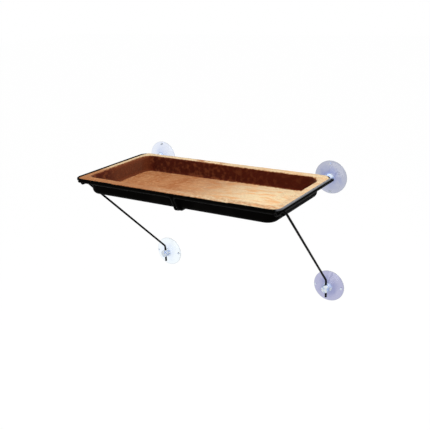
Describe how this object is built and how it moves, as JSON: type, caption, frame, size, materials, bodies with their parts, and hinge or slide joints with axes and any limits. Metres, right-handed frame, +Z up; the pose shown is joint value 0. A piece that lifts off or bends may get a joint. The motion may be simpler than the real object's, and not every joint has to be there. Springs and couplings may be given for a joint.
{
  "type": "window mounted cat perch",
  "caption": "Shallow black moulded tray with a plush lining, lying in a bent-wire frame that hangs from suction cups on a window and is propped by two wire struts.",
  "frame": {"origin": "on the window glass, midway between the two upper suction cups and level with their centres", "axes": "+X along the window, +Y towards the window, +Z up"},
  "size_m": [0.546, 0.303, 0.343],
  "materials": {
    "tray_plastic": "black moulded plastic, fine grain",
    "plush": "short-pile caramel plush",
    "wire_coat": "black dip-coated steel wire",
    "clip_plastic": "black snap clip",
    "cup_vinyl": "clear soft vinyl"
  },
  "bodies": {
    "window_cups": {"cup_upper_left": "cup_vinyl", "cup_upper_right": "cup_vinyl"},
    "frame": {"frame_left": "wire_coat", "frame_right": "wire_coat", "clip_front": "clip_plastic", "clip_rear": "clip_plastic"},
    "strut_left_arm": {"strut_left": "wire_coat"},
    "strut_right_arm": {"strut_right": "wire_coat"},
    "lower_cup_left": {"cup_lower_left": "cup_vinyl"},
    "lower_cup_right": {"cup_lower_right": "cup_vinyl"},
    "tray_body": {"tray": "tray_plastic"},
    "liner_body": {"liner": "plush"}
  },
  "joints": [
    {"name": "frame_fold", "type": "hinge", "parent": "window_cups", "child": "frame", "pos_m": [0, -0.018, 0], "axis": [1, 0, 0], "range_deg": [-75, 0]},
    {"name": "strut_left_swing", "type": "hinge", "parent": "frame", "child": "strut_left_arm", "pos_m": [-0.2487, -0.266, 0], "axis": [-1, 0, 0], "range_deg": [0, 45]},
    {"name": "strut_right_swing", "type": "hinge", "parent": "frame", "child": "strut_right_arm", "pos_m": [0.2487, -0.266, 0], "axis": [-1, 0, 0], "range_deg": [0, 45]},
    {"name": "lower_cup_left_turn", "type": "hinge", "parent": "strut_left_arm", "child": "lower_cup_left", "pos_m": [-0.235, -0.018, -0.267], "axis": [0, 0, 1], "range_deg": [-90, 90]},
    {"name": "lower_cup_right_turn", "type": "hinge", "parent": "strut_right_arm", "child": "lower_cup_right", "pos_m": [0.235, -0.018, -0.267], "axis": [0, 0, 1], "range_deg": [-90, 90]},
    {"name": "tray_lift", "type": "slide", "parent": "frame", "child": "tray_body", "axis": [0, 0, 1], "range_m": [0, 0.06]},
    {"name": "liner_lift", "type": "slide", "parent": "tray_body", "child": "liner_body", "axis": [0, 0, 1], "range_m": [0, 0.06]}
  ]
}
